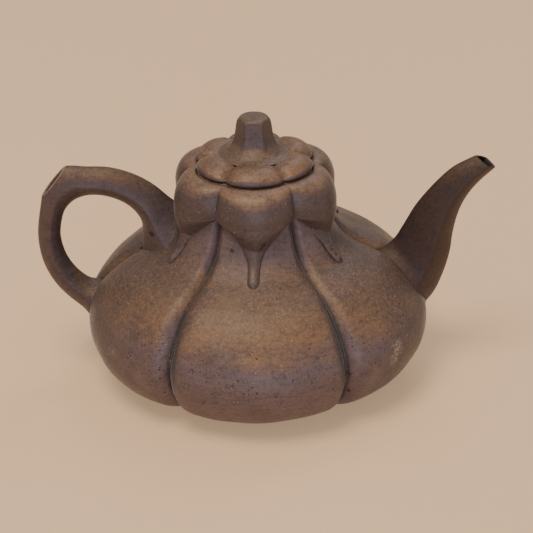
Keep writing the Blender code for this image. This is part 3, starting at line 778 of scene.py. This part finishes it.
def make_collar(tree, material):
    """The calyx collar: the rim, the shoulder, then each lobe hanging to its own edge, and back up inside."""
    top = smooth_rows(COLLAR_OUTLINE, 40)
    lower = 26
    inside = 14
    columns = []
    for a in fine_columns():
        t = min(a % SECTOR, SECTOR - a % SECTOR)
        edge = eased(COLLAR_EDGE, t)
        mid_lobe = smooth_step(t / 26.0)
        column = []
        for i, (r, z) in enumerate(top):
            share = smooth_step(i / (len(top) * 0.62))
            full = LOBE_BELLY * mid_lobe * smooth_step((BELLY_BELOW - z) / 9.0)
            wide = RIM_CREASE + (COLLAR_SWELL - RIM_CREASE) * share
            column.append((r + full, z, COLLAR_FOLD * share, wide, 0.0, 0.6 * (1 - share), 1.0))
        r_top, z_top = top[-1]
        deep, wide = body_moves(edge)
        lip = COLLAR_LIP + (TAIL_LIP - COLLAR_LIP) * mid_lobe
        r_lip = outline_radius(edge) + lip
        for k in range(1, lower + 1):
            u = k / lower
            z = z_top + (edge - z_top) * u
            hang = 1 - u ** 2.4
            r = r_lip + (r_top - r_lip) * hang
            full = LOBE_BELLY * mid_lobe * smooth_step((BELLY_BELOW - z) / 9.0) * (1 - smooth_step((u - 0.25) / 0.75))
            fold, swell = deep + (COLLAR_FOLD - deep) * hang, wide + (COLLAR_SWELL - wide) * hang
            column.append((r + full, z, fold, swell, 0.0, 0.0, 1.0))
        for turn in (30, 60, 90, 120, 150):
            w = math.radians(turn)
            round_off = lip * 0.5
            r = r_lip - round_off * (1 - math.cos(w))
            column.append((r, edge - round_off * math.sin(w) * 0.8, deep, wide, 0.0, 0.0, 0.0))
        for k in range(inside):
            z = edge + (NECK_TOP + 0.3 - edge) * k / (inside - 1)
            deep_in, wide_in = body_moves(z)
            column.append((outline_radius(z) - 0.3, z, deep_in, wide_in, 0.0, 0.0, 0.0))
        column.append((RIM_RADIUS - 0.3, NECK_TOP + 0.6, 0.0, RIM_CREASE, 0.0, 0.0, 0.0))
        column.append((RIM_RADIUS - 0.3, MOUTH_TOP - 0.6, 0.0, RIM_CREASE, 0.0, 0.6, 0.0))
        columns.append(column)
    rows = np.array(columns).transpose(1, 0, 2)
    return turned("calyx", rows, tree, material, Crease_width=6.0, Unevenness=0.0006, Uneven_size=0.016, Seed=4.0)


def make_ring(tree, material):
    low, wide, top = NECK_TOP + 0.1, RIM_RADIUS - 0.5, MOUTH_TOP
    rows = [(MOUTH_RADIUS, low, 0)]
    rows += [(r, z, RIM_CREASE) for r, z in (
        (wide, low), (wide, top - 0.4), (wide - 0.4, top - 0.1), (wide - 1.0, top),
    )]
    rows += [(MOUTH_RADIUS + r, z, 0) for r, z in (
        (1.0, top), (0.4, top - 0.15), (0.1, top - 0.5), (0.0, top - 1.0), (0.0, (low + top) / 2),
    )]
    rows = [(r, z, 0, swell, 0, 0, 0) for r, z, swell in rows]
    return turned("mouth_seat", rows, tree, material, Unevenness=0.0)


def lid_moves(r, z):
    share = min(1.0, max(0.0, (r - 12.0) / 5.0))
    sink = LID_DROP * share * min(1.0, max(0.0, (z - LID_BASE) / 3.5))
    pull = LID_CREASE * r / LID_RADIUS
    return 0.4 * pull, 0.6 * pull, 0.35 * sink, 0.65 * sink


def make_lid(tree, material):
    upper = smooth_rows(LID_TOP, 64)
    under = LID_MIDDLE - 2.4
    hollow = FLANGE_RADIUS - FLANGE_WALL - 0.4
    low = [(0.6, under), (5.0, under), (hollow - 2.5, under - 0.2), (hollow - 0.8, LID_BASE + 1.2)]
    low.append((hollow, LID_BASE))
    rows = [(r, z, 0.0, 0.0, 0.0, 0.0, 0.0) for r, z in low]
    rows += [(r, z, *lid_moves(r, z), 1.0) for r, z in upper]
    rows += [(r, LID_MIDDLE, 0, 0, 0, 0, 0) for r in (7.0, 3.0, 0.6)]
    lid = turned("lobed_lid", rows, tree, material, closed=False, Crease_width=9.0, Unevenness=0.0006,
                 Uneven_size=0.012, Seed=7.0)
    turn, away, radius = math.radians(VENT[0]), VENT[1], VENT[2] * MM
    bm = bmesh.new()
    bmesh.ops.create_cone(bm, cap_ends=True, segments=28, radius1=radius, radius2=radius, depth=14 * MM)
    place = Vector((away * math.cos(turn), away * math.sin(turn), 87.0)) * MM
    bmesh.ops.translate(bm, vec=place, verts=bm.verts)
    punch = from_bmesh("vent_punch", bm)
    hole = lid.modifiers.new("vent", "BOOLEAN")
    hole.object = punch
    hole.solver = "EXACT"
    lid.name = "lobed_lid_before"
    done = evaluated_copy(lid, "lobed_lid")
    bpy.data.objects.remove(punch, do_unlink=True)
    return done


def make_flange(material):
    inside, edge, low = FLANGE_RADIUS - FLANGE_WALL, 0.6, FLANGE_BOTTOM
    top = LID_BASE + 0.4
    outline = [(inside, top), (inside, low + edge)]
    for w in (0.5, 1.0, 1.57):
        outline.append((inside + edge * (1 - math.cos(w)), low + edge * (1 - math.sin(w))))
    for w in (0.0, 0.5, 1.0, 1.57):
        outline.append((FLANGE_RADIUS - edge * (1 - math.sin(w)), low + edge * (1 - math.cos(w))))
    outline.append((FLANGE_RADIUS, top))
    around = np.linspace(0, 2 * math.pi, 180, endpoint=False)
    rings = [[(r * math.cos(a), r * math.sin(a), z) for a in around] for r, z in outline]
    return finished(grid_mesh("lid_neck", rings, closed_rows=True), material, 50)


def make_knob(material):
    """The stem knob: six facets with softened corners, flaring to a round foot on the lid."""
    rows = smooth_rows(KNOB_OUTLINE, 64)
    around = np.linspace(0, 2 * math.pi, 240, endpoint=False)
    facets = [math.radians(30 + 60 * k) for k in range(LOBES)]
    rings = []
    for r, z in rows:
        cut = smooth_step((z - KNOB_ROUND_BELOW) / (KNOB_FACETS_ABOVE - KNOB_ROUND_BELOW))
        cut *= 1 - 0.8 * smooth_step((z - KNOB_CROWN) / 1.5)
        ring = []
        for a in around:
            total = sum(max(0.0, math.cos(a - f)) ** 30 for f in facets)
            faceted = r * math.cos(math.radians(30)) / total ** (1 / 30)
            radius = r * 0.96 + (faceted - r * 0.96) * cut
            ring.append((radius * math.cos(a), radius * math.sin(a), z))
        rings.append(ring)
    rings = hand_unevenness(rings, 6.0, 0.09, 3)
    return finished(grid_mesh("stem_knob", rings, caps=True), material, 75)


# ---- spout, handle and tails


def kite_ring(front, back, half_width, ridge, inset=0.0, power=1.3, count=96):
    """A rounded kite in the plane of front, back and the Y axis, its side ridges past the middle."""
    front, back = np.array([front[0], 0, front[1]]), np.array([back[0], 0, back[1]])
    middle, half = (front + back) / 2, (back - front) / 2
    reach = max(np.linalg.norm(half) - inset, 0.2) / np.linalg.norm(half)
    width = max(half_width - inset, 0.2)
    t = np.linspace(0, 2 * math.pi, count, endpoint=False)
    c, s = np.cos(t), np.sin(t)
    along = np.sign(c) * np.abs(c) ** (2 / power)
    across = np.sign(s) * np.abs(s) ** (2 / power)
    span = np.where(along > 0, 1 - ridge, 1 + ridge)
    return middle + np.outer(reach * (ridge + along * span), half) + np.outer(width * across, (0, 1, 0))


def trim_lines(rings, depth, with_collar=False):
    """Ends each lengthwise line where it is depth under the pot's skin, and spaces its points evenly again."""
    rows, cols = rings.shape[:2]
    gap = pot_gap(rings, with_collar) + depth
    out = np.empty_like(rings)
    for j in range(cols):
        line, g = rings[:, j], gap[:, j]
        ends = (i + g[i] / (g[i] - g[i + 1]) for i in range(rows - 1) if g[i] > 0 >= g[i + 1])
        keep = next(ends, rows - 1)
        at = np.linspace(0, keep, rows)
        for k in range(3):
            out[:, j, k] = np.interp(at, np.arange(rows), line[:, k])
    return out


def flare(rings, amount, reach, with_collar=False):
    """Spreads a root outwards as it nears the pot, as clay smoothed into a luted joint."""
    gap = np.clip(pot_gap(rings, with_collar), 0, reach)
    out = rings - rings.mean(1, keepdims=True)
    out /= np.maximum(np.linalg.norm(out, axis=2, keepdims=True), 1e-6)
    return rings + out * (amount * (1 - gap / reach) ** 2.2)[..., None]


def make_spout(material):
    stations = smooth_rows(SPOUT_STATIONS, 150)[::-1]
    outer = np.array([kite_ring(s[:2], s[2:4], s[4], SPOUT_RIDGE) for s in stations])
    inner = np.array([kite_ring(s[:2], s[2:4], s[4], SPOUT_RIDGE, inset=s[5]) for s in stations])
    outer = flare(trim_lines(outer, 1.2), 1.5, 6.0)
    inner = trim_lines(inner, 1.2)
    lip_in, lip_out = inner[0], outer[0]
    swell = np.array([0.35, 0, 0.25])
    rolled = [lip_out + (lip_in - lip_out) * t + swell * math.sin(t * math.pi) for t in (0.8, 0.5, 0.2)]
    rings = np.concatenate([inner[::-1], np.array(rolled), outer])
    inside = np.zeros(rings.shape[:2])
    inside[: len(inner)] = 1.0
    rings = hand_unevenness(rings, 14.0, 0.22, 1)
    # painted shade: the spout's bore is marked to be painted nearly black
    mesh = grid_mesh("spout_skin", rings, closed_rows=True, attributes={"bore_shade_and_residue": inside})
    return finished(mesh, material, 65)


def make_handle(material):
    """The ear handle. Its elbow is sliced off and the slice is hollowed a little round a dark pith."""
    stations = smooth_rows(HANDLE_STATIONS, 260)
    rings = []
    for i, s in enumerate(stations):
        power = 1.28 + 0.24 * smooth_step(i / (0.3 * len(stations)))
        rings.append(kite_ring(s[:2], s[2:4], s[4], HANDLE_RIDGE, power=power, count=88))
    rings = np.array(rings)
    middle = len(rings) // 2
    upper = trim_lines(rings[: middle + 1][::-1], 1.0, True)[::-1]
    lower = trim_lines(rings[middle:], 1.0)
    upper = flare(upper, 1.6, 9.0, True)
    lower = flare(lower, 1.4, 6.0)
    rings = np.concatenate([upper, lower[1:]])
    mesh = grid_mesh("vine_handle", hand_unevenness(rings, 15.0, 0.28, 2), caps=True)
    along = np.subtract(CUT_TO, CUT_FROM)
    along = along / np.linalg.norm(along)
    out = Vector((along[2], 0, -along[0]))
    bm = bmesh.new()
    bm.from_mesh(mesh)
    every = bm.verts[:] + bm.edges[:] + bm.faces[:]
    bmesh.ops.bisect_plane(bm, geom=every, plane_co=Vector(CUT_FROM) * MM, plane_no=out, clear_outer=True)
    hollow_slice(bm, [e for e in bm.edges if e.is_boundary], out)
    bmesh.ops.recalc_face_normals(bm, faces=bm.faces)
    bm.to_mesh(mesh)
    bm.free()
    return finished(mesh, material, 40)


def hollow_slice(bm, edges, out):
    """Fills the open slice with rings that sink to a shallow dish, with a pith hole in the middle."""
    worn, soot = bm.verts.layers.float.new("wear_and_highlight"), bm.verts.layers.float.new("bore_shade_and_residue")
    loop = [edges[0].verts[0], edges[0].verts[1]]
    used = {edges[0]}
    while True:
        follow = [e for e in loop[-1].link_edges if e in edges and e not in used]
        if not follow:
            break
        used.add(follow[0])
        nxt = follow[0].other_vert(loop[-1])
        if nxt is loop[0]:
            break
        loop.append(nxt)
    middle = sum((v.co for v in loop), Vector()) / len(loop)
    last = loop
    # the slice's rim is painted pale, partly wear and partly a painted highlight
    for v in loop:
        v[worn] = 0.9
    for scale, rise, pale, dark in SLICE_RINGS:
        ring = []
        for k, v in enumerate(loop):
            ripple = 0.06 * math.sin(k * 0.9) * (0.3 < scale < 0.85)
            made = bm.verts.new(middle + (v.co - middle) * scale + out * (rise + ripple) * MM)
            made[worn], made[soot] = pale, dark
            ring.append(made)
        for k in range(len(loop)):
            n = (k + 1) % len(loop)
            bm.faces.new((last[k], last[n], ring[n], ring[k]))
        last = ring
    tip = bm.verts.new(middle - out * 2.5 * MM)
    tip[soot] = 1.0
    for k in range(len(loop)):
        bm.faces.new((last[k], last[(k + 1) % len(loop)], tip))


def make_tail(number, tree, material):
    """A tail drawn out of a lobe's tip and pressed down on the shoulder, wide where it leaves the lobe."""
    turn = TAIL_BEARINGS[number - 1]
    facing = number == FRONT_TAIL
    foot, narrower = (TAIL_FOOT, 1.0) if facing else (TAIL_FOOT + 0.9, 0.86)
    points, thick, outward = [], [], []
    steps = 60
    for i in range(steps + 1):
        u = i / steps
        z = TAIL_TOP + (foot - TAIL_TOP) * u
        sway = 0.7 * math.sin(u * 2.4 + number * 1.7) * u
        angle = math.radians(turn + sway)
        radius = float(np.interp(u, *zip(*TAIL_THICKNESS))) * narrower
        proud = float(np.interp(u, *zip(*TAIL_PROUD)))
        r = outline_radius(z) - float(body_press(turn, z)) + proud - radius * TAIL_HEIGHT
        points.append((r * math.cos(angle) * MM, r * math.sin(angle) * MM, z * MM))
        tip = max(0.0, (u - TAIL_ROUND_FROM) / (1 - TAIL_ROUND_FROM))
        thick.append(radius * MM * math.sqrt(max(0.004, 1 - tip ** 2)))
        slope = outline_radius(z - 0.5) - outline_radius(z + 0.5)
        outward.extend(Vector((math.cos(angle), math.sin(angle), slope)).normalized())
    mesh = bpy.data.meshes.new(f"tail_{number}")
    mesh.from_pydata(points, [(i, i + 1) for i in range(steps)], [])
    mesh.attributes.new("roll_radius", "FLOAT", "POINT").data.foreach_set("value", thick)
    for label, values in (("path_place", np.ravel(points)), ("path_out", outward)):
        mesh.attributes.new(label, "FLOAT_VECTOR", "POINT").data.foreach_set("vector", values)
    made = run_tree(link(f"tail_{number}", mesh), tree, Outer_flat=1 - TAIL_HEIGHT, Inner_flat=0.8, Sides=40,
                    Steps=110, Material=material)
    face_out(made.data)
    return made


# ---- build


def build():
    press, flecks, roll = press_lobes_tree(), mica_tree(), tail_tree()
    skin = clay("melon_clay", burnish=0.55, grooves=0.95, marks_and_shade_patches=True, side_shade=0.92, fade=0.4)
    leaf = clay("calyx_clay", burnish=0.6, grooves=0.25, pits=0.7, marks_and_shade_patches=True, low=(0.070, 0.047, 0.048),
                top=(0.278, 0.150, 0.078), neck_from=42.0, painted_top_light_from=0.30, painted_top_light_to=0.86)
    lid_clay = clay("lid_clay", burnish=0.65, grooves=0.45, pits=0.5, low=(0.112, 0.076, 0.079),
                    top=(0.236, 0.121, 0.056))
    # painted shade: the spout, the handle and the knob are darkened by their tone and their side settings
    spout_clay = clay("spout_clay", burnish=0.4, tone=0.38, pits=0.6, side_shade=0.8, low=(0.110, 0.058, 0.046),
                      sheen=0.12, shine=0.28)
    held = clay("hand_rubbed_clay", burnish=0.5, tone=0.60, pits=0.6, marks_and_shade_patches=True, side_shade=0.95, sheen=0.12,
                shine=0.4)
    stem = clay("stem_clay", burnish=0.6, tone=0.85, pits=0.5, side_shade=0.7, low=(0.075, 0.050, 0.053),
                top=(0.165, 0.095, 0.056), sheen=0.12)
    raw = clay("raw_clay", burnish=0.0, pits=0.3)
    glint = mica()

    def put(piece, body, slot, *nodes):
        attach(piece, body)
        if nodes:
            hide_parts(*nodes)

    wall = make_wall(press, skin)
    put(wall, POT, BURNISHED, "pot_body")
    put(make_slab(press, raw), POT, RAW, "foot_slab")
    calyx = make_collar(press, leaf)
    put(calyx, POT, BURNISHED, "calyx_collar")
    put(make_ring(press, raw), POT, RAW, "mouth_ring")
    for number in range(1, LOBES + 1):
        put(make_tail(number, roll, leaf), POT, BURNISHED, f"calyx_tail_{number}")
    put(make_spout(spout_clay), POT, BURNISHED, "spout")
    put(make_handle(held), POT, WORN, "handle")
    lid = make_lid(press, lid_clay)
    put(lid, LID, BURNISHED, "lid_plate")
    put(make_flange(raw), LID, RAW, "lid_flange")
    put(make_knob(stem), LID, WORN, "lid_knob")
    for source, name, body, seed in (
        (wall, "mica_wall", POT, 3), (calyx, "mica_calyx", POT, 5), (lid, "mica_lid", LID, 8),
    ):
        scattered = run_tree(link(name, source.data.copy()), flecks, Flecks_per_square_metre=26000.0,
                             Fleck_radius=0.15 * MM, Seed=seed, Material=glint)
        put(scattered, body, BURNISHED)


def make_stage():
    bm = bmesh.new()
    bmesh.ops.create_grid(bm, x_segments=8, y_segments=8, size=6.0)
    floor = from_bmesh("floor", bm)
    floor.data.materials.append(plain_floor())


LIGHTS = (  # place and aimed-at height in metres, width, watts, colour
    ("right", (1.4, -0.35, 0.35), 0.05, 0.5, 1.3, (0.78, 0.88, 1.0)),
    ("behind", (0.35, 0.9, 1.2), 0.05, 0.6, 4.2, (0.92, 0.96, 1.0)),
    ("top", (-0.3, -0.35, 1.3), 0.03, 0.7, 12.5, (1.0, 0.86, 0.68)),
    ("front", (0.05, -1.5, 0.24), 0.05, 0.5, 6.5, (0.70, 0.78, 1.0)),
)
CAMERA_TILT, CAMERA_ROLL = 28.3, 1.1
CAMERA_AIM = 45.0
CAMERA_SHIFT = (3.72, -4.4, 760.0)  # right, up and back from the point aimed at
CAMERA_LENS = 134.0


def soft_light(name, place, aim_height, size, power, colour):
    data = bpy.data.lights.new(name, "AREA")
    data.shape = "DISK"
    data.size = size
    data.energy = power
    data.color = colour
    lamp = link(name, data)
    lamp.location = place
    lamp.rotation_euler = (Vector((0, 0, aim_height)) - Vector(place)).to_track_quat("-Z", "Y").to_euler()


def make_lights():
    world = bpy.data.worlds.new("studio")
    world.use_nodes = True
    back = world.node_tree.nodes["Background"]
    back.inputs["Color"].default_value = (1.0, 0.95, 0.90, 1.0)
    back.inputs["Strength"].default_value = 0.42
    bpy.context.scene.world = world
    for light in LIGHTS:
        soft_light(*light)


def make_camera():
    tilt, roll = math.radians(CAMERA_TILT), math.radians(CAMERA_ROLL)
    right, up = Vector((1, 0, 0)), Vector((0, math.sin(tilt), math.cos(tilt)))
    back = Vector((0, -math.cos(tilt), math.sin(tilt)))
    along, higher, away = CAMERA_SHIFT
    place = Vector((0, 0, CAMERA_AIM)) + right * along + up * higher + back * away
    turned_right = right * math.cos(roll) - up * math.sin(roll)
    turned_up = right * math.sin(roll) + up * math.cos(roll)
    data = bpy.data.cameras.new("camera")
    data.sensor_width = 36.0
    data.lens = CAMERA_LENS
    data.clip_start = 0.05
    data.clip_end = 30.0
    camera = link("camera", data)
    matrix = Matrix((turned_right, turned_up, back)).transposed().to_4x4()
    matrix.translation = place * MM
    camera.matrix_world = matrix
    bpy.context.scene.camera = camera


build()
make_stage()
make_lights()
make_camera()
